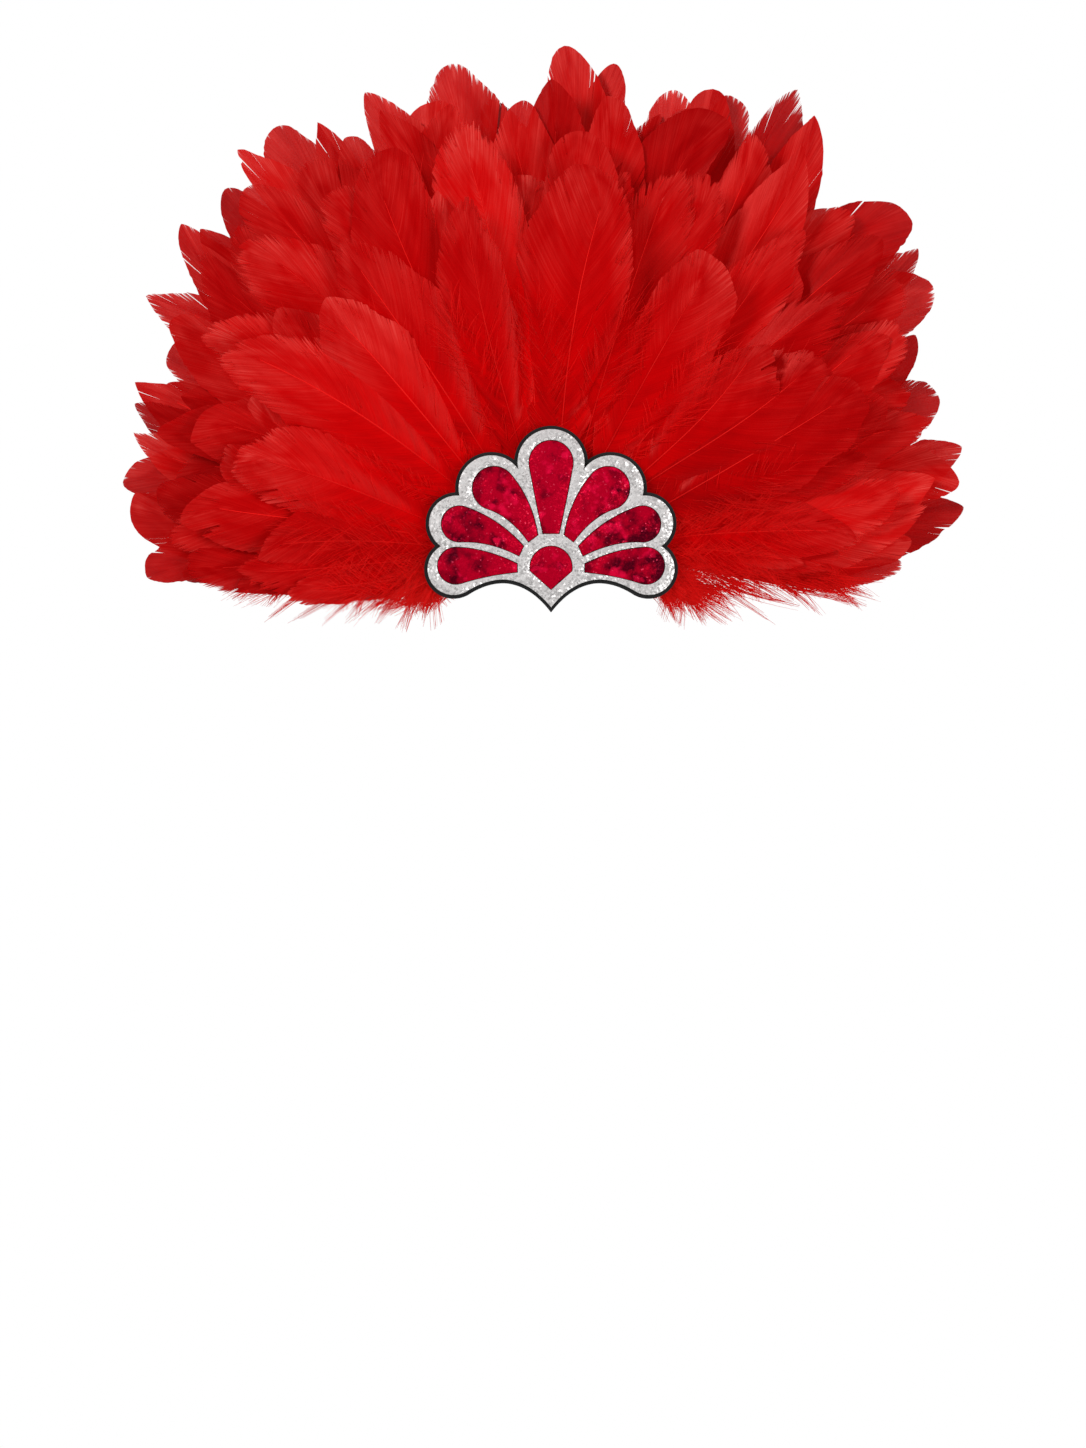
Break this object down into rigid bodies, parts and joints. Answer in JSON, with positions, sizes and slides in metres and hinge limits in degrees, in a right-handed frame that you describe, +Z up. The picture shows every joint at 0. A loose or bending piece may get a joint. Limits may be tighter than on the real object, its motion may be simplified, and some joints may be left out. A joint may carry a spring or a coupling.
{
  "type": "feather headdress",
  "caption": "Carnival headdress: a wide fan of dyed red feathers behind a scalloped silver and red diadem on a plain black head band",
  "frame": {"origin": "the seat on the head: the middle of the head band's inner face, behind the diadem", "axes": "+X to the viewer's right across the fan, +Y into the head, away from the diadem's face, +Z up"},
  "size_m": [0.4347, 0.165, 0.2958],
  "materials": {
    "feather": "satin dyed feather with fine barbs",
    "glitter": "silver glitter sheet of tiny facets",
    "foil": "crimson holographic foil with pink sparkle",
    "foam": "matt black foam sheet",
    "band": "black satin-covered band"
  },
  "bodies": {
    "root": {"head_band": "band", "feather_row_back": "feather", "feather_row_rear": "feather", "feather_row_middle": "feather", "feather_row_front": "feather", "diadem_backing": "foam", "diadem_border": "glitter", "centre_drop": "foil", "petal_top": "foil", "petal_upper_left": "foil", "petal_upper_right": "foil", "petal_middle_left": "foil", "petal_middle_right": "foil", "petal_lower_left": "foil", "petal_lower_right": "foil"}
  },
  "joints": []
}
